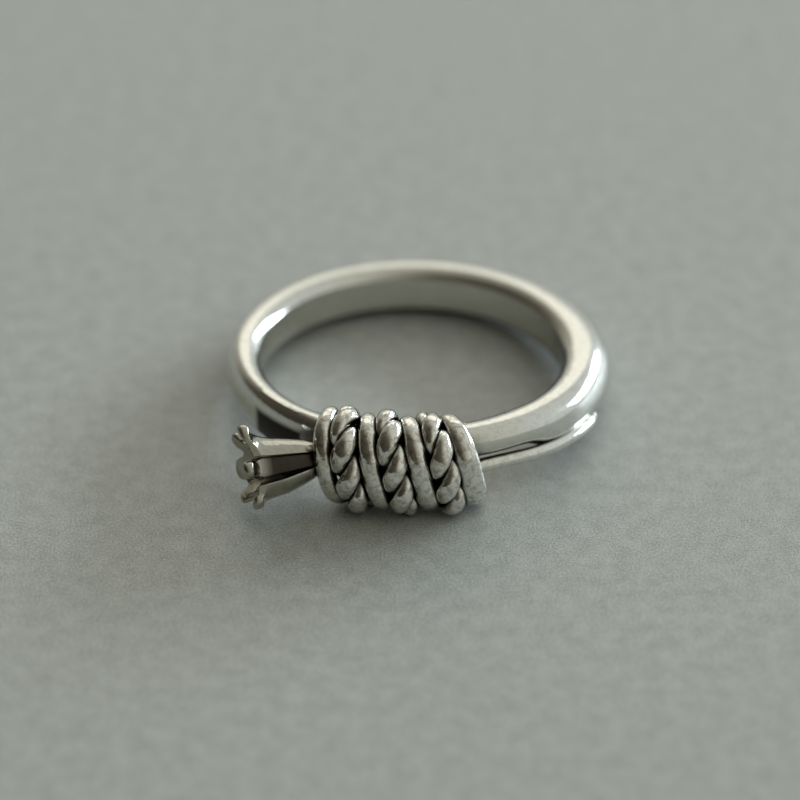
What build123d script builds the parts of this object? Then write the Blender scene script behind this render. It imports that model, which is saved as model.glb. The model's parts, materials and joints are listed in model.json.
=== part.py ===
"""Silver finger ring whose shank splits into a slim stem.

The stem runs beside the shank, is lashed to it by a plain wire and a two-strand rope wound side by
side, and opens beyond the lashing into a flared bud: three broad outer petals and three narrow inner ones.

Millimetres. The finger hole's axis is Z and its centre is the origin. The lashing is at the front,
on -Y, and the bud opens towards -X. A "bearing" is an angle in degrees round the hole, measured
from the front, positive towards +X. A point given as (radius, height) lies in the plane of a bearing.
"""

from build123d import *
from math import cos, hypot, pi, radians, sin
import os

# Shank
BORE_RADIUS = 8.85
RIM_TOP = 1.5
SHANK_BOTTOM = -1.5
BRANCH_BOTTOM = -0.35  # underside of the shank where the stem has split away from it
CREST_RADIUS = 9.75  # the section is tallest here, and falls away on both sides
OUTER_RADIUS = 11.05
OUTER_CENTRE = (0.4, 0.55)  # off the hole's centre, so the shank is thickest on the right and at the back
SHANK_SQUARENESS = 2.1
SHANK_INSIDE = 8.6  # the blank starts this far in, and the finger hole is bored through it
SEAM_BEARING = 2.0  # the shank's ends butt here, hidden by the lashing
SEAM_GAP = 0.25  # degrees
CUT_HEIGHT = 12.0  # taller than anything a cutting shape goes through
CROTCH = (36.0, 53.0)  # bearings over which the underside drops to full height, right
UNDERCUT = (-44.0, -29.0)  # and the same behind the bud, left

# Lashing: both wires follow one rounded loop round the shank and stem, and advance as a helix.
# Their widths grow with the radius, so that they stay side by side at the finger hole too.
LOOP_CENTRE = (10.6, -0.1)
LOOP_INNER, LOOP_OUTER = 1.45, 1.75
LOOP_TOP, LOOP_BOTTOM = 2.4, 2.17
LOOP_SQUARENESS = 2.5
TURN_PITCH = 12.75  # degrees of bearing per turn
PLAIN_START = -26.0  # bearing of the plain wire as it first crosses the top
PLAIN_TURNS = (-0.12, 3.56)
PLAIN_WIDTH = 0.040  # radius of the wire, as a share of the distance from the finger axis
ROPE_LEAD = 0.49 * TURN_PITCH
ROPE_TURNS = (-0.2, 2.52)
STRAND_OFFSET = 0.0330  # these three too are shares of the distance from the finger axis
STRAND_DEPTH = 0.0318
STRAND_BREADTH = 0.047
TWISTS_PER_TURN = 3.75
ROPE_PHASE = -0.08  # share of a twist
SEAT_CLEARANCE = 0.03
SEAT_BEARINGS = (-30.2, 15.4)

# Stem: bearing, radius from the finger axis, height, own radius
STEM_STATIONS = (
    (70.0, 11.12, -0.98, 0.16),
    (66.0, 11.12, -0.98, 0.32),
    (56.0, 11.02, -0.92, 0.37),
    (45.0, 10.85, -0.86, 0.38),
    (33.0, 10.55, -0.76, 0.38),
    (20.0, 10.45, -0.80, 0.41),
    (8.0, 10.72, -0.98, 0.49),
    (-4.0, 10.97, -0.78, 0.52),
    (-12.0, 11.05, -0.42, 0.54),
    (-19.0, 11.05, -0.06, 0.50),
)
STEM_HEART = ((0.0, 0.45), (0.7, 0.60), (1.6, 0.66), (2.1, 0.40))  # along the bud's axis, own radius

# Bud: a flared horn cut into petals, on a straight axis that leaves the lashing
BUD_ORIGIN = (-5.40, -10.33, 0.04)
BUD_AXIS = (-1.0, -0.22, -0.05)
HORN_OUTER = ((0.0, 1.0), (0.4, 1.14), (1.0, 1.29), (2.0, 1.49), (2.95, 1.73), (3.42, 2.05), (3.68, 2.5))
HORN_INNER = ((0.0, 0.74), (1.0, 0.98), (2.0, 1.18), (3.1, 1.43), (3.68, 1.85), (3.98, 2.42))
HORN_LIP = (3.94, 2.64)
PETAL_GAP = 0.045  # half of the slit between neighbours
WEDGE_START = 0.4  # distance from the bud's axis, well inside the horn
INNER_RECESS = 0.14  # how much deeper the narrow petals sit
BROAD_PETAL = (39.0, 1.80, 0.62)  # half angle of its sector, where it starts to narrow, tip radius
NARROW_PETAL = (21.0, 1.75, 0.42)
NECK_RADIUS = 1.98  # distance from the bud's axis to the neck between a blade and its tip
TIP_REACH = 2.62
PETAL_LEANS = (0.0, -5.0, 8.0, -5.0, 2.0, -5.0)  # degrees out from the horn, broad and narrow in turn
FIRST_PETAL = 0.0  # degrees from straight up, away from the finger hole's side


def ease(x):
    """Smooth step from 0 to 1."""
    x = min(max(x, 0.0), 1.0)
    return x * x * (3 - 2 * x)


def at(bearing, radius, height):
    """A point given by bearing, radius from the finger axis and height."""
    a = radians(bearing - 90)
    return Vector(radius * cos(a), radius * sin(a), height)


def superellipse(phase, squareness):
    """Point of a unit superellipse, anticlockwise from the outer side."""
    c, s = cos(phase), sin(phase)
    reach = (abs(c) ** squareness + abs(s) ** squareness) ** (-1 / squareness)
    return reach * c, reach * s


def tube(rings):
    """Solid skinned over closed rings of points, with a flat cap at each end."""
    skin = Face.make_surface_from_array_of_points([r + r[:1] for r in rings], 0.01, max_deg=3)
    caps = [Face(Wire([edge])) for edge in skin.edges() if edge.is_closed]
    return Solid(Shell([skin] + caps))


def spread(first, last, count):
    """Evenly spaced values from first to last."""
    return [first + (last - first) * i / count for i in range(count + 1)]


def shank_underside(bearing):
    """Height of the shank's underside at a bearing."""
    right = ease((bearing - CROTCH[0]) / (CROTCH[1] - CROTCH[0]))
    left = ease((UNDERCUT[1] - bearing) / (UNDERCUT[1] - UNDERCUT[0]))
    return BRANCH_BOTTOM + (SHANK_BOTTOM - BRANCH_BOTTOM) * max(right, left)


def shank_ring(bearing):
    """Section of the shank's blank at a bearing."""
    wrapped = (bearing + 180) % 360 - 180
    bottom = shank_underside(wrapped)
    turned = radians(wrapped)
    outside = OUTER_RADIUS + OUTER_CENTRE[0] * sin(turned) - OUTER_CENTRE[1] * cos(turned)
    centre, half_height = (RIM_TOP + bottom) / 2, (RIM_TOP - bottom) / 2
    ring = []
    for phase in spread(0, 2 * pi, 36)[:-1]:
        x, z = superellipse(-phase, SHANK_SQUARENESS)
        half_width = outside - CREST_RADIUS if x > 0 else CREST_RADIUS - SHANK_INSIDE
        ring.append(at(bearing, CREST_RADIUS + half_width * x, centre + half_height * z))
    return ring


def loop_point(phase):
    """Radius and height of the lashing's centreline, at a phase anticlockwise from the outer side."""
    x, z = superellipse(phase, LOOP_SQUARENESS)
    semi_r = LOOP_OUTER if x > 0 else LOOP_INNER
    semi_z = LOOP_TOP if z > 0 else LOOP_BOTTOM
    return LOOP_CENTRE[0] + semi_r * x, LOOP_CENTRE[1] + semi_z * z


def even_loop(samples=2880, count=240):
    """The centreline clockwise from its top, at points evenly spaced along its length."""
    raw = [loop_point(pi / 2 - 2 * pi * i / samples) for i in range(samples + 1)]
    length = [0.0]
    for (r0, z0), (r1, z1) in zip(raw, raw[1:]):
        length.append(length[-1] + hypot(r1 - r0, z1 - z0))
    points, k = [], 0
    for target in spread(0, length[-1], count):
        while k < samples - 1 and length[k + 1] < target:
            k += 1
        share = (target - length[k]) / (length[k + 1] - length[k])
        points.append([p + (q - p) * share for p, q in zip(raw[k], raw[k + 1])])
    return points


LOOP_TABLE = even_loop()


def loop_at(turn):
    """Radius and height of the centreline after a number of turns, starting at the top."""
    share = turn % 1.0 * (len(LOOP_TABLE) - 1)
    k = int(share)
    here, following = LOOP_TABLE[k], LOOP_TABLE[min(k + 1, len(LOOP_TABLE) - 1)]
    return [p + (q - p) * (share - k) for p, q in zip(here, following)]


def lashing_point(turn, lead=0.0):
    """Point on a lashing wire's centreline. The lead is its bearing ahead of the plain wire."""
    return at(PLAIN_START + lead + TURN_PITCH * turn, *loop_at(turn))


def loop_outwards(turn, lead=0.0):
    """Direction out of the loop, square to the wire and to the advance of the helix."""
    step = 0.004
    along = (lashing_point(turn + step, lead) - lashing_point(turn - step, lead)).normalized()
    inwards = at(PLAIN_START + lead + TURN_PITCH * turn, *LOOP_CENTRE) - lashing_point(turn, lead)
    across = along.cross(inwards).normalized()
    return along.cross(across), across


def strand_ring(turn, half_turn):
    """Oval section of one rope strand. The strands wind half a twist apart round the rope's centre."""
    outwards, across = loop_outwards(turn, ROPE_LEAD)
    twist = 2 * pi * (TWISTS_PER_TURN * turn + ROPE_PHASE + half_turn / 2)
    away = outwards * cos(twist) - across * sin(twist)
    aside = outwards * sin(twist) + across * cos(twist)
    scale = loop_at(turn)[0]
    ring = []
    for phase in spread(0, 2 * pi, 16)[:-1]:
        reach = STRAND_OFFSET + STRAND_DEPTH * cos(phase)
        spot = away * reach + aside * (STRAND_BREADTH * sin(phase))
        ring.append(lashing_point(turn, ROPE_LEAD) + spot * scale)
    return ring


def file_flush(wire):
    """Wire with its inside passes filed flush with the finger hole."""
    return wire - Cylinder(BORE_RADIUS, CUT_HEIGHT)


def plain_ring(turn):
    """Round section of the plain wire."""
    outwards, across = loop_outwards(turn)
    radius = PLAIN_WIDTH * loop_at(turn)[0]
    phases = spread(0, 2 * pi, 16)[:-1]
    return [lashing_point(turn) + (outwards * cos(p) + across * sin(p)) * radius for p in phases]


def plain_wire():
    """Plain round wire, once round the loop per turn."""
    return file_flush(tube([plain_ring(turn) for turn in spread(*PLAIN_TURNS, 90)]))


def rope_strand(half_turn):
    """One of the rope's two strands."""
    return file_flush(tube([strand_ring(turn, half_turn) for turn in spread(*ROPE_TURNS, 170)]))


def lashing_inside():
    """Outline of the space inside the lashing, in radius and height."""
    outline = []
    for phase in spread(0, 2 * pi, 48)[:-1]:
        r, z = loop_point(phase)
        (r0, z0), (r1, z1) = loop_point(phase - 0.01), loop_point(phase + 0.01)
        run = hypot(r1 - r0, z1 - z0)
        inset = (STRAND_OFFSET + STRAND_DEPTH) * r + SEAT_CLEARANCE
        outline.append((r - inset * (z1 - z0) / run, z + inset * (r1 - r0) / run))
    return Face(Wire([Spline(outline, periodic=True)]))


def lashing_seat():
    """Recess for the lashing in the inside of the shank, and over its rim."""
    first, last = SEAT_BEARINGS
    depth = LOOP_CENTRE[0] - SHANK_INSIDE
    block = Pos(SHANK_INSIDE + depth / 2, 0) * Rectangle(depth, CUT_HEIGHT)
    section = Plane.XZ * (block - lashing_inside())
    return Rot(0, 0, first - 90) * revolve(section, axis=Axis.Z, revolution_arc=last - first)


def bud_frame():
    """The bud's own frame: origin at the petals' roots, z out along its axis, x upwards."""
    return Plane(origin=BUD_ORIGIN, x_dir=(0, 0, 1), z_dir=BUD_AXIS)


def stem_solid():
    """Slim rod from its scarf in the shank, under the lashing, to the heart of the bud."""
    axis = Vector(*BUD_AXIS).normalized()
    centres = [at(*station[:3]) for station in STEM_STATIONS]
    centres += [Vector(*BUD_ORIGIN) + axis * along for along, _ in STEM_HEART]
    radii = [station[3] for station in STEM_STATIONS] + [radius for _, radius in STEM_HEART]
    path = Spline(centres)
    knots = [path.param_at_point(centre) for centre in centres]

    def radius(u):
        k = max(i for i in range(len(knots) - 1) if knots[i] <= u or i == 0)
        return radii[k] + (radii[k + 1] - radii[k]) * ease((u - knots[k]) / (knots[k + 1] - knots[k]))

    rings = []
    for u in spread(0, 1, 80):
        ring_plane = Plane(origin=path @ u, x_dir=Vector(0, 0, 1).cross(path % u), z_dir=path % u)
        phases = spread(0, 2 * pi, 16)[:-1]
        spots = [(radius(u) * cos(p), radius(u) * sin(p), 0) for p in phases]
        rings.append([ring_plane.from_local_coords(Vector(*spot)) for spot in spots])
    return tube(rings)


def horn():
    """Flared shell that the petals are cut from, with a full round lip."""
    outer = Spline([(r, z) for z, r in HORN_OUTER])
    inner = Spline([(r, z) for z, r in HORN_INNER])
    lip = ThreePointArc(outer @ 1, (HORN_LIP[1], HORN_LIP[0]), inner @ 1)
    root = Line(inner @ 0, outer @ 0)
    profile = Face(Wire([outer.edge(), lip.edge(), inner.edge(), root.edge()]))
    return revolve(Plane.XZ * profile, axis=Axis.Z)


def petal_outline(half_angle, shoulder, tip):
    """Petal seen along the bud's axis: a wedge up to its shoulder, a neck, and a round tip."""
    c, s = cos(radians(half_angle)), sin(radians(half_angle))
    shift = Vector(PETAL_GAP * s, -PETAL_GAP * c)
    corners = [Vector(reach * c, reach * s) + shift for reach in (WEDGE_START, shoulder)]
    corners.append(Vector(NECK_RADIUS, tip - PETAL_GAP))
    mirrored = [Vector(v.X, -v.Y) for v in reversed(corners)]
    blade = make_face(Polyline(corners + mirrored + corners[:1]))
    return blade + Pos(TIP_REACH - tip, 0) * Circle(tip)


def petals():
    """The petals in order round the bud, broad and narrow in turn, starting with the top one."""
    shell = horn()
    outlines = [petal_outline(*shape) for shape in (BROAD_PETAL, NARROW_PETAL)]
    blades = [extrude(outline, amount=CUT_HEIGHT) for outline in outlines]
    step = 360 / len(PETAL_LEANS)
    for k, lean in enumerate(PETAL_LEANS):
        narrow = k % 2
        turn = Rot(0, 0, FIRST_PETAL - step * k) * Pos(-INNER_RECESS * narrow, 0, 0)
        root = Pos(HORN_OUTER[0][1], 0, 0)
        leaning = root * Rot(0, lean, 0) * Pos(-HORN_OUTER[0][1], 0, 0)
        yield bud_frame() * turn * leaning * (shell & blades[narrow])


def shank_solid(stem):
    """Tapered shank with its seat for the lashing and its socket for the stem's scarf."""
    first, last = SEAM_BEARING + SEAM_GAP / 2, SEAM_BEARING + 360 - SEAM_GAP / 2
    blank = tube([shank_ring(bearing) for bearing in spread(first, last, 180)])
    return blank - Cylinder(BORE_RADIUS, CUT_HEIGHT) - lashing_seat() - stem


os.makedirs("parts", exist_ok=True)
stem = stem_solid()
nodes = {
    "shank": shank_solid(stem),
    "stem": stem,
    "plain_lashing_wire": plain_wire(),
    "rope_strand_a": rope_strand(0),
    "rope_strand_b": rope_strand(1),
}
for number, petal in enumerate(petals(), 1):
    nodes[f"petal_{number}"] = petal
for name, solid in nodes.items():
    export_step(solid, f"parts/{name}.step")
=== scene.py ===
import json
import math
import bmesh
import bpy
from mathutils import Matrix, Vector


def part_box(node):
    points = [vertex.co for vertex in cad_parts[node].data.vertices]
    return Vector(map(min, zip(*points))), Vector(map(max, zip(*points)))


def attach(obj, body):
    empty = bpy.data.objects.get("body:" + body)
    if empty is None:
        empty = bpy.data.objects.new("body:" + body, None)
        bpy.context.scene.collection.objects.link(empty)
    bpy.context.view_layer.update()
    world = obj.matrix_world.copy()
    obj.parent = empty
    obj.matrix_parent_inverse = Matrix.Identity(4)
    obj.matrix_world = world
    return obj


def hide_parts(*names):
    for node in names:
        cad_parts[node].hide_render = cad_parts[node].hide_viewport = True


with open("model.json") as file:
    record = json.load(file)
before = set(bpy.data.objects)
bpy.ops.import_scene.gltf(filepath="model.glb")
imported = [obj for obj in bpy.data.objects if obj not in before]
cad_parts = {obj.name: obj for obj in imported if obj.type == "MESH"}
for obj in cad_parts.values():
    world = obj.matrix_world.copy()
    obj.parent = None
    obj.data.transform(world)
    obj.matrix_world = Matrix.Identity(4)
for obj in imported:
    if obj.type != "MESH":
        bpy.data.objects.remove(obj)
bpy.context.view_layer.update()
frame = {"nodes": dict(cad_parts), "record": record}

scene = bpy.context.scene
MM = 0.001

# The lashing, as in the CAD: one rounded loop round the band and stem, advancing as a helix.
# Lengths are in millimetres, angles in degrees, and a turn is once round the loop.
BORE = frame["record"]["mounts"][0]["dims"]["r_mm"]
LOOP_CENTRE = (10.6, -0.1)  # radius and height
LOOP_INNER, LOOP_OUTER = 1.45, 1.75
LOOP_TOP, LOOP_BOTTOM = 2.4, 2.17
LOOP_SQUARENESS = 2.5
TURN_PITCH = 12.75  # bearing per turn
PLAIN_START = -26.0
ROPE_LEAD = 0.49 * TURN_PITCH
TWISTS_PER_TURN = 3.75
ROPE_PHASE = -0.08
PLAIN_TURNS = (-0.12, 3.56)
ROPE_TURNS = (-0.2, 2.86)

# Half sizes as shares of the distance from the finger axis, so that the wires stay side by side.
PLAIN_DEPTH, PLAIN_BREADTH = 0.040, 0.0450
PLAIN_SPREAD = 0.026  # extra breadth per squared turn
STRAND_OUT, STRAND_ASIDE = 0.0310, 0.0290  # swing of a strand's centre, out of the rope and along it
STRAND_DEPTH, STRAND_BREADTH = 0.0385, 0.0500
LOBE_SWELL = 0.07  # a strand is this much fatter where it comes to the outside

# Unevenness of hand winding: waves of size, radians per turn and starting phase.
PLAIN_WANDER = ((0.0016, 5.1, 0.8), (0.0011, 13.7, 0.0))
PLAIN_WAVER = ((0.025, 9.3, 0.0),)
STRAND_WAVER = ((0.02, 7.7, 0.0),)

# Mesh density of the wires and the shape of their ends.
PLAIN_RINGS, STRAND_RINGS = 420, 640
WIRE_SIDES = 28
DOME_RINGS = 5
DOME_LENGTH = 0.8  # as a share of the wire's half depth

# The bud. Lengths are in metres from here on.
BUD_ORIGIN = Vector((-5.40, -10.33, 0.04)) * MM
BUD_AXIS = Vector((-1.0, -0.22, -0.05)).normalized()
FLARE_START, FLARE_KEEP = 1.7 * MM, 0.45  # the lower petals flare less than the rest
LOWER_PETALS = (3, 4)
TIP_REACH, TIP_SWELL = 0.6 * MM, 0.20 * MM
PETAL_VOXEL = 0.035 * MM
SMOOTHING_PASSES = 6
CHANNEL_LENGTH = 5 * MM

# Colours of the silver, and the width of the hollows that oxide fills on each kind of piece. On the band the
# width is large, so the same darkening also paints shade on its lower outer face and under it by the bud.
BRIGHT_SILVER = (0.86, 0.86, 0.81, 1)
BAND_SILVER = (0.77, 0.77, 0.72, 1)
CAST_SILVER = (0.46, 0.45, 0.39, 1)
TARNISH = (0.42, 0.37, 0.29, 1)
# Oxide colour, also used for painted shade.
OXIDE_AND_SHADE_COLOUR = (0.014, 0.007, 0.006, 1)
# The band's 3 mm reach paints shade as well as oxide.
BAND_OXIDE_AND_SHADE_REACH, STEM_HOLLOW, WIRE_HOLLOW, BUD_HOLLOW = 3.0 * MM, 1.5 * MM, 0.75 * MM, 0.8 * MM
# Boxes of painted shade on the band: behind the bud, and in the slit between the band and the stem.
PAINTED_SHADE_BOXES = (  # centre and half sizes
    (Vector((-7.5, -8.0, -1.0)) * MM, Vector((1.4, 3.5, 1.65)) * MM),
    (Vector((5.5, -9.5, -0.48)) * MM, Vector((1.8, 3.0, 0.30)) * MM),
)

# The floor touches the lashing and the far edge of the band, this far in from their boxes.
LASHING_INSET, BAND_INSET = 1.6 * MM, 0.5 * MM
FLOOR_HALF = 1.5

# The camera: angles in degrees, the lens in millimetres of a 36 mm sensor, everything else in metres.
CAMERA_ELEVATION, CAMERA_DISTANCE = 29.6, 0.23
CAMERA_LENS, CAMERA_STOP = 179.0, 24
BAND_TOP = Vector((0, 0, 1.5)) * MM
RING_RIGHT, RING_UP = 0.66 * MM, 3.2 * MM  # how far the ring lies from the picture's centre
SHARPEST = Vector((0, -11.5, 0.5)) * MM


def put(name, data, location=(0, 0, 0)):
    """New object in the scene."""
    item = bpy.data.objects.new(name, data)
    scene.collection.objects.link(item)
    item.location = location
    return item


def shade_smooth(mesh):
    """Shade a mesh as one rounded surface."""
    for face in mesh.polygons:
        face.use_smooth = True


def superellipse(phase, squareness):
    """Point on a rounded unit square, at an angle from +X towards +Y."""
    c, s = math.cos(phase), math.sin(phase)
    reach = (abs(c) ** squareness + abs(s) ** squareness) ** (-1 / squareness)
    return reach * c, reach * s


def at(bearing, radius, height):
    """A point, in millimetres, given by bearing from the front, radius from the finger axis and height."""
    a = math.radians(bearing - 90)
    return Vector((radius * math.cos(a), radius * math.sin(a), height))


def even_loop(samples=2880, count=360):
    """Radius and height of the lashing's centreline, clockwise from the top at even distances."""
    raw = []
    for i in range(samples + 1):
        x, z = superellipse(math.pi / 2 - 2 * math.pi * i / samples, LOOP_SQUARENESS)
        r = LOOP_CENTRE[0] + (LOOP_OUTER if x > 0 else LOOP_INNER) * x
        raw.append((r, LOOP_CENTRE[1] + (LOOP_TOP if z > 0 else LOOP_BOTTOM) * z))
    length = [0.0]
    for (r0, z0), (r1, z1) in zip(raw, raw[1:]):
        length.append(length[-1] + math.hypot(r1 - r0, z1 - z0))
    points, k = [], 0
    for i in range(count + 1):
        target = length[-1] * i / count
        while k < samples - 1 and length[k + 1] < target:
            k += 1
        share = (target - length[k]) / (length[k + 1] - length[k])
        points.append([p + (q - p) * share for p, q in zip(raw[k], raw[k + 1])])
    return points


LOOP_TABLE = even_loop()


def loop_at(turn):
    """Radius and height of the centreline after a number of turns, starting at the top."""
    share = turn % 1.0 * (len(LOOP_TABLE) - 1)
    k = int(share)
    following = LOOP_TABLE[min(k + 1, len(LOOP_TABLE) - 1)]
    return [p + (q - p) * (share - k) for p, q in zip(LOOP_TABLE[k], following)]


def lashing_point(turn, lead):
    """Place of a wire's centreline. The lead is its bearing ahead of the plain wire."""
    return at(PLAIN_START + lead + TURN_PITCH * turn, *loop_at(turn))


def lashing_frame(turn, lead):
    """Centre, forward, outward and sideways directions of a lashing wire."""
    step = 0.004
    centre = lashing_point(turn, lead)
    along = (lashing_point(turn + step, lead) - lashing_point(turn - step, lead)).normalized()
    inwards = at(PLAIN_START + lead + TURN_PITCH * turn, *LOOP_CENTRE) - centre
    across = along.cross(inwards).normalized()
    return centre, along, along.cross(across), across


def ripple(waves, turn, shift=0.0):
    """Sum of the waves after a number of turns."""
    return sum(size * math.sin(rate * turn + phase + shift) for size, rate, phase in waves)


def plain_section(turn):
    """Oval section of the plain wire, which gets flatter and broader pass by pass."""
    centre, along, outwards, across = lashing_frame(turn, 0.0)
    scale = loop_at(turn)[0]
    breadth = PLAIN_BREADTH * (1 + PLAIN_SPREAD * max(turn, 0) ** 2)
    depth = PLAIN_DEPTH * (1 + ripple(PLAIN_WAVER, turn))
    centre = centre + across * (ripple(PLAIN_WANDER, turn) * scale)
    return centre, along, outwards * (depth * scale), across * (breadth * scale)


def strand_section(half_turn):
    """Section of one rope strand. Its lobes swell where it comes to the outside."""
    def section(turn):
        centre, along, outwards, across = lashing_frame(turn, ROPE_LEAD)
        twist = 2 * math.pi * (TWISTS_PER_TURN * turn + ROPE_PHASE + half_turn / 2)
        c, s = math.cos(twist), math.sin(twist)
        scale = loop_at(turn)[0] * (1 + ripple(STRAND_WAVER, turn, half_turn))
        away = outwards * c - across * s
        aside = outwards * s + across * c
        centre = centre + (outwards * (STRAND_OUT * c) - across * (STRAND_ASIDE * s)) * scale
        swell = 1 + LOBE_SWELL * c
        return centre, along, away * (STRAND_DEPTH * swell * scale), aside * (STRAND_BREADTH * swell * scale)
    return section


def wire_stations(first, last, count):
    """Turn, share of the full section and distance past the end, for each ring along a wire."""
    turns = [(first + (last - first) * i / count, 1.0, 0.0) for i in range(count + 1)]
    angles = [math.pi / 2 * k / DOME_RINGS for k in range(1, DOME_RINGS)]
    start = [(first, math.cos(a), -math.sin(a)) for a in reversed(angles)]
    end = [(last, math.cos(a), math.sin(a)) for a in angles]
    return start + turns + end


def clear_of_finger(spot):
    """Push a point that lies inside the finger hole out to its wall."""
    flat = math.hypot(spot.x, spot.y)
    if flat >= BORE:
        return spot
    return Vector((spot.x * BORE / flat, spot.y * BORE / flat, spot.z))


def wire_piece(name, section, first, last, count):
    """Closed tube along a section function, with domed ends, filed flush where it meets the hole."""
    mesh = bmesh.new()
    loops = []
    for turn, shrink, beyond in wire_stations(first, last, count):
        centre, along, up, side = section(turn)
        centre = centre + along * (beyond * up.length * DOME_LENGTH)
        loop = []
        for k in range(WIRE_SIDES):
            phase = 2 * math.pi * k / WIRE_SIDES
            spot = centre + (up * math.cos(phase) + side * math.sin(phase)) * shrink
            loop.append(mesh.verts.new(clear_of_finger(spot) * MM))
        loops.append(loop)
    for a, b in zip(loops, loops[1:]):
        for k in range(WIRE_SIDES):
            following = (k + 1) % WIRE_SIDES
            mesh.faces.new((a[k], a[following], b[following], b[k]))
    mesh.faces.new(reversed(loops[0]))
    mesh.faces.new(loops[-1])
    bmesh.ops.recalc_face_normals(mesh, faces=mesh.faces)
    data = bpy.data.meshes.new(name)
    mesh.to_mesh(data)
    mesh.free()
    shade_smooth(data)
    return put(name, data)


def stand_in(piece, node, material):
    """Let a piece take the place of a CAD node, with the given material."""
    piece.data.materials.clear()
    piece.data.materials.append(material)
    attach(piece, "root")
    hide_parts(node)


def wind_lashing(material):
    """The plain wire and the rope's two strands."""
    wires = (
        ("plain_lashing_wire", plain_section, PLAIN_TURNS, PLAIN_RINGS),
        ("rope_strand_a", strand_section(0), ROPE_TURNS, STRAND_RINGS),
        ("rope_strand_b", strand_section(1), ROPE_TURNS, STRAND_RINGS),
    )
    for node, section, (first, last), count in wires:
        piece = wire_piece(node + "_wound", section, first, last, count)
        stand_in(piece, node, material)


def out_of_bud(spot):
    """How far a point is along the bud and out from its axis, together."""
    along = (spot - BUD_ORIGIN).dot(BUD_AXIS)
    return along + (spot - BUD_ORIGIN - BUD_AXIS * along).length


def tame_flare(mesh):
    """Draw a petal's tip in towards the bud's axis."""
    for vertex in mesh.vertices:
        offset = vertex.co - BUD_ORIGIN
        radial = offset - BUD_AXIS * offset.dot(BUD_AXIS)
        beyond = radial.length - FLARE_START
        if beyond > 0:
            vertex.co -= radial.normalized() * (beyond * (1 - FLARE_KEEP))


def swell_tip(mesh):
    """Push the surface outwards near a petal's tip, to leave a bead there."""
    tip = max((v.co for v in mesh.vertices), key=out_of_bud).copy()
    moves = []
    for vertex in mesh.vertices:
        near = math.exp(-((vertex.co - tip).length / TIP_REACH) ** 2)
        moves.append(vertex.co + vertex.normal * (TIP_SWELL * near))
    for vertex, spot in zip(mesh.vertices, moves):
        vertex.co = spot


def melted_copy(node, name):
    """Copy of a CAD node's mesh with its sharp edges melted round."""
    piece = put(name, node.data.copy())
    piece.matrix_world = node.matrix_world.copy()
    remesh = piece.modifiers.new("remesh", "REMESH")
    remesh.mode = "VOXEL"
    remesh.voxel_size = PETAL_VOXEL
    smooth = piece.modifiers.new("smooth", "SMOOTH")
    smooth.factor = 0.5
    smooth.iterations = SMOOTHING_PASSES
    bpy.context.view_layer.update()
    melted = piece.evaluated_get(bpy.context.evaluated_depsgraph_get())
    data = bpy.data.meshes.new_from_object(melted)
    piece.modifiers.clear()
    piece.data = data
    data.name = name
    return piece


def soften_petals(broad_material, narrow_material):
    """Copies of the petals with their edges melted round and their tips swollen into beads."""
    for number in range(1, 7):
        node = f"petal_{number}"
        piece = melted_copy(frame["nodes"][node], node + "_cast")
        if number in LOWER_PETALS:
            tame_flare(piece.data)
        swell_tip(piece.data)
        shade_smooth(piece.data)
        stand_in(piece, node, broad_material if number % 2 else narrow_material)


def new_material(name):
    """Material with an empty node tree, and the tree."""
    material = bpy.data.materials.new(name)
    material.use_nodes = True
    material.node_tree.nodes.clear()
    return material, material.node_tree


def add(tree, kind, **values):
    """New node with its inputs or settings given by name."""
    node = tree.nodes.new(kind)
    for key, value in values.items():
        if key in node.inputs:
            node.inputs[key].default_value = value
        else:
            setattr(node, key, value)
    return node


def feed(tree, port, source):
    """Connect an input to an output, or give it a plain value."""
    if isinstance(source, bpy.types.NodeSocket):
        tree.links.new(source, port)
    else:
        port.default_value = source


def grey(v):
    return (v, v, v, 1)


def ramp(tree, source, stops):
    """Colour that follows a number, from stops of place and colour."""
    node = add(tree, "ShaderNodeValToRGB")
    elements = node.color_ramp.elements
    while len(elements) < len(stops):
        elements.new(0.5)
    for element, (place, colour) in zip(elements, stops):
        element.position = place
        element.color = colour
    feed(tree, node.inputs["Fac"], source)
    return node.outputs["Color"]


def mix(tree, share, first, second):
    """Blend from the first colour to the second."""
    node = add(tree, "ShaderNodeMix", data_type="RGBA")
    for port, source in ((0, share), (6, first), (7, second)):
        feed(tree, node.inputs[port], source)
    return node.outputs[2]


def noise(tree, place, **values):
    """Noise from 0 to 1. A scale of 1000 has features about a millimetre wide."""
    node = add(tree, "ShaderNodeTexNoise", **values)
    feed(tree, node.inputs["Vector"], place)
    return node.outputs["Fac"]


def calculate(tree, operation, *sources):
    """Result of a Math node."""
    node = add(tree, "ShaderNodeMath", operation=operation)
    for port, source in zip(node.inputs, sources):
        feed(tree, port, source)
    return node.outputs[0]


def calculate_vector(tree, operation, *sources):
    """Result of a Vector Math node, a number for a dot product."""
    node = add(tree, "ShaderNodeVectorMath", operation=operation)
    for port, source in zip(node.inputs, sources):
        feed(tree, port, source)
    return node.outputs["Value" if operation == "DOT_PRODUCT" else "Vector"]


def bump(tree, height, strength, distance, under=None):
    """Surface normal with relief, on top of an earlier one if it is given."""
    node = add(tree, "ShaderNodeBump", Strength=strength, Distance=distance)
    feed(tree, node.inputs["Height"], height)
    if under:
        feed(tree, node.inputs["Normal"], under)
    return node.outputs["Normal"]


def surface(tree, colour, roughness, normal, metallic=0.0):
    """Last nodes of a material."""
    shader = add(tree, "ShaderNodeBsdfPrincipled", Metallic=metallic)
    feed(tree, shader.inputs["Base Color"], colour)
    feed(tree, shader.inputs["Roughness"], roughness)
    feed(tree, shader.inputs["Normal"], normal)
    out = add(tree, "ShaderNodeOutputMaterial")
    feed(tree, out.inputs["Surface"], shader.outputs["BSDF"])


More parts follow.
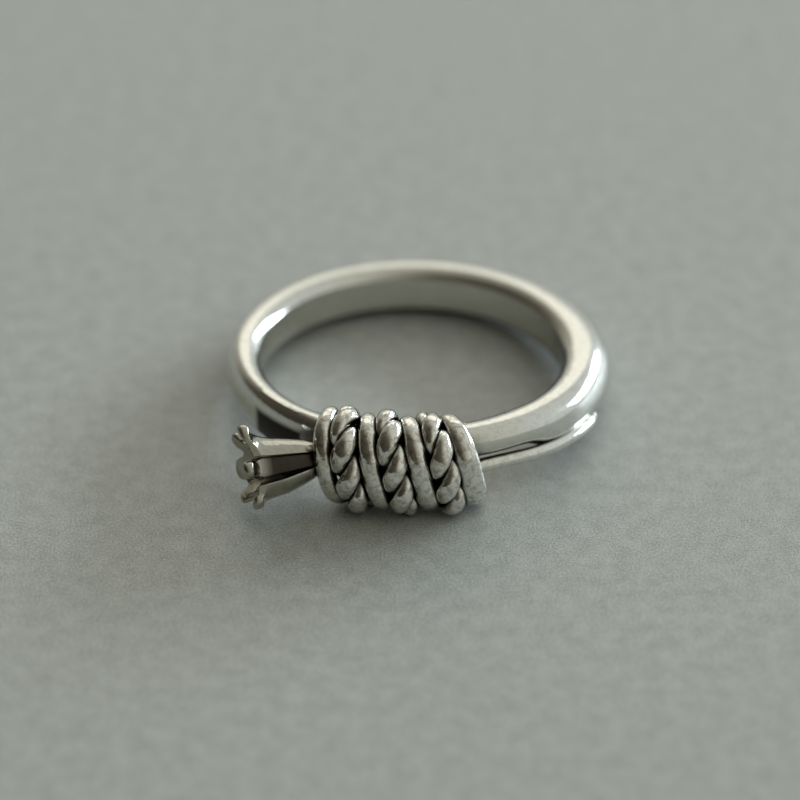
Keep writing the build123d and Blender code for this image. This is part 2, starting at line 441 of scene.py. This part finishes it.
def silver(name, clean, hollow, waviness, tarnished, painted_shade_mask=None):
    """Polished silver with fine scratches and faint tarnish, oxide in its hollows, and painted shade where
    the hollow reach is wide and where the given mask says.
    """
    material, tree = new_material(name)
    place = add(tree, "ShaderNodeTexCoord").outputs["Object"]
    cloud = noise(tree, place, Scale=800.0, Detail=4.0, Roughness=0.55)
    fine = noise(tree, place, Scale=7000.0, Detail=3.0, Roughness=0.7)
    speck = noise(tree, place, Scale=3200.0, Detail=4.0, Roughness=0.65, Distortion=0.6)

    # Oxide where neighbouring surfaces hide the light; with a wide reach this paints shade too.
    openness = add(tree, "ShaderNodeAmbientOcclusion", samples=12, Distance=hollow).outputs["AO"]
    ragged = calculate(tree, "MULTIPLY_ADD", speck, 0.22, openness)
    oxide_and_painted_shade = ramp(tree, ragged, ((0.46, grey(1)), (0.84, grey(0))))
    # The given mask adds painted shade.
    if painted_shade_mask:
        oxide_and_painted_shade = calculate(tree, "MAXIMUM", oxide_and_painted_shade, painted_shade_mask(tree, place))

    aged = mix(tree, ramp(tree, speck, ((0.46, grey(0)), (0.64, grey(tarnished)))), clean, TARNISH)
    colour = mix(tree, oxide_and_painted_shade, aged, OXIDE_AND_SHADE_COLOUR)
    polish = ramp(tree, cloud, ((0.3, grey(0.08)), (0.75, grey(0.17))))
    roughness = mix(tree, oxide_and_painted_shade, polish, grey(0.45))
    dents = bump(tree, cloud, waviness, 0.025 * MM)
    scratches = bump(tree, fine, 0.35, 0.003 * MM, dents)
    surface(tree, colour, roughness, scratches, metallic=1.0)
    return material


def greatest(tree, values):
    """Largest of some numbers."""
    most = values[0]
    for other in values[1:]:
        most = calculate(tree, "MAXIMUM", most, other)
    return most


def painted_shade_box(tree, place, centre, reach):
    """Mask of painted shade that is 1 inside a box and fades out at its faces."""
    offset = calculate_vector(tree, "SUBTRACT", place, centre)
    share = calculate_vector(tree, "DIVIDE", offset, reach)
    parts = add(tree, "ShaderNodeSeparateXYZ")
    feed(tree, parts.inputs[0], calculate_vector(tree, "ABSOLUTE", share))
    return ramp(tree, greatest(tree, parts.outputs), ((0.84, grey(0.95)), (1.0, grey(0))))


def band_painted_shade(tree, place):
    """Painted shade: the band is darkened to the oxide colour behind the bud and along its seam with the
    stem, where these shade it.
    """
    return greatest(tree, [painted_shade_box(tree, place, centre, reach) for centre, reach in PAINTED_SHADE_BOXES])


def bud_channel_shade(tree, place):
    """Mask of oxide and painted shade: 1 along a recessed petal and 0 at its bead."""
    offset = calculate_vector(tree, "SUBTRACT", place, BUD_ORIGIN)
    along = calculate_vector(tree, "DOT_PRODUCT", offset, BUD_AXIS / CHANNEL_LENGTH)
    return ramp(tree, along, ((0.50, grey(0.85)), (0.68, grey(0))))


def dress_ring():
    """Silver on every piece, and the wound and cast pieces in place of their CAD nodes."""
    finishes = (
        # The band takes painted shade from its wide reach and from the shade boxes.
        ("shank", silver("band_silver", BAND_SILVER, BAND_OXIDE_AND_SHADE_REACH, 0.8, 0.22, band_painted_shade)),
        ("stem", silver("stem_silver", BRIGHT_SILVER, STEM_HOLLOW, 0.8, 0.4)),
    )
    for name, material in finishes:
        node = frame["nodes"][name]
        node.data.materials.clear()
        node.data.materials.append(material)
    wind_lashing(silver("wire_silver", BRIGHT_SILVER, WIRE_HOLLOW, 1.8, 0.8))
    broad = silver("petal_silver", CAST_SILVER, BUD_HOLLOW, 0.8, 0.75)
    # Recessed petals are darkened along their length, with oxide and painted shade.
    narrow = silver("channel_silver", CAST_SILVER, BUD_HOLLOW, 0.8, 0.75, bud_channel_shade)
    soften_petals(broad, narrow)


def floor_material():
    """Pale matt sheet with a fine tooth and scattered painted glints, pale flecks in its colour."""
    material, tree = new_material("floor_sheet")
    place = add(tree, "ShaderNodeTexCoord").outputs["Object"]
    tooth = noise(tree, place, Scale=8500.0, Detail=2.0, Roughness=0.7)
    blotch = noise(tree, place, Scale=900.0, Detail=3.0, Roughness=0.6)
    mottle = calculate(tree, "MULTIPLY_ADD", blotch, 0.3, tooth)
    sheet = ramp(tree, mottle, ((0.46, (0.36, 0.385, 0.365, 1)), (0.80, (0.73, 0.76, 0.725, 1))))
    # Painted glints: pale flecks mixed into the colour.
    painted_glint = ramp(tree, tooth, ((0.68, grey(0)), (0.74, grey(1))))
    colour = mix(tree, painted_glint, sheet, grey(0.95))
    surface(tree, colour, 0.42, bump(tree, tooth, 0.5, 0.04 * MM))
    return material


def lay_floor():
    """The ring rests on its lashing and on the far edge of its band, so the floor leans a little."""
    lash_low = min(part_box(node)[0].z for node in ("rope_strand_a", "rope_strand_b"))
    lash_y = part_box("rope_strand_a")[0].y + LASHING_INSET
    band_near, band_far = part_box("shank")
    slope = math.atan2(band_near.z - lash_low, band_far.y - BAND_INSET - lash_y)
    mesh = bpy.data.meshes.new("floor")
    corners = [(x * FLOOR_HALF, y * FLOOR_HALF, 0) for x, y in ((-1, -1), (1, -1), (1, 1), (-1, 1))]
    mesh.from_pydata(corners, [], [(0, 1, 2, 3)])
    floor = put("floor", mesh, (0, lash_y, lash_low))
    floor.rotation_euler = (slope, 0, 0)
    mesh.materials.append(floor_material())


def panel(name, azimuth, elevation, distance, size, radiance, colour):
    """Softbox in a direction from the ring, which it faces. Azimuth is from +X towards +Y."""
    a, e = math.radians(azimuth), math.radians(elevation)
    place = Vector((math.cos(e) * math.cos(a), math.cos(e) * math.sin(a), math.sin(e))) * distance
    light = bpy.data.lights.new(name, "AREA")
    light.shape = "RECTANGLE"
    light.size, light.size_y = size
    light.energy = radiance * math.pi * size[0] * size[1]
    light.color = colour
    lamp = put(name, light, place)
    lamp.rotation_euler = (-place).to_track_quat("-Z", "Y").to_euler()


def light_room():
    """Room that is dim and olive in front on the left, and pale behind on the right."""
    world = bpy.data.worlds.new("studio")
    scene.world = world
    world.use_nodes = True
    tree = world.node_tree
    tree.nodes.clear()
    place = add(tree, "ShaderNodeTexCoord").outputs["Generated"]
    tilt = calculate_vector(tree, "DOT_PRODUCT", place, (0.44, 0.27, 0.0))
    away = calculate(tree, "ADD", tilt, 0.5)
    back = add(tree, "ShaderNodeBackground", Strength=1.0)
    feed(tree, back.inputs["Color"], ramp(tree, away, (
        (0.0, (0.04, 0.035, 0.028, 1)),
        (0.26, (0.09, 0.08, 0.06, 1)),
        (0.42, (0.28, 0.27, 0.225, 1)),
        (0.62, (0.52, 0.52, 0.46, 1)),
        (1.0, (0.62, 0.66, 0.66, 1)),
    )))
    out = add(tree, "ShaderNodeOutputWorld")
    feed(tree, out.inputs["Surface"], back.outputs[0])


def light_studio():
    """The room, a pale wall behind, and a bright cool window low behind and to the right."""
    light_room()
    panel("wall", 90, 34, 1.2, (0.9, 0.6), 0.60, (1.0, 0.94, 0.82))
    panel("window", 36, 18, 1.0, (0.74, 0.16), 16.0, (0.80, 0.91, 1.0))
    panel("glow", 36, 18, 1.1, (0.95, 0.25), 0.8, (0.70, 0.85, 1.0))


def place_camera():
    """Long lens from the front, looking down, with the ring above and right of the picture's centre."""
    tilt = math.radians(CAMERA_ELEVATION)
    towards_camera = Vector((0, -math.cos(tilt), math.sin(tilt)))
    up = Vector((0, math.sin(tilt), math.cos(tilt)))
    data = bpy.data.cameras.new("camera")
    data.sensor_width = 36
    data.lens = CAMERA_LENS
    data.clip_start, data.clip_end = 0.01, 10
    camera = put("camera", data, BAND_TOP + towards_camera * CAMERA_DISTANCE)
    aim = BAND_TOP - Vector((RING_RIGHT, 0, 0)) - up * RING_UP
    camera.rotation_mode = "QUATERNION"
    camera.rotation_quaternion = (aim - camera.location).to_track_quat("-Z", "Y")
    data.dof.use_dof = True
    data.dof.focus_object = put("focus", None, SHARPEST)
    data.dof.aperture_fstop = CAMERA_STOP
    scene.camera = camera
    scene.view_settings.view_transform = "Standard"


dress_ring()
lay_floor()
light_studio()
place_camera()
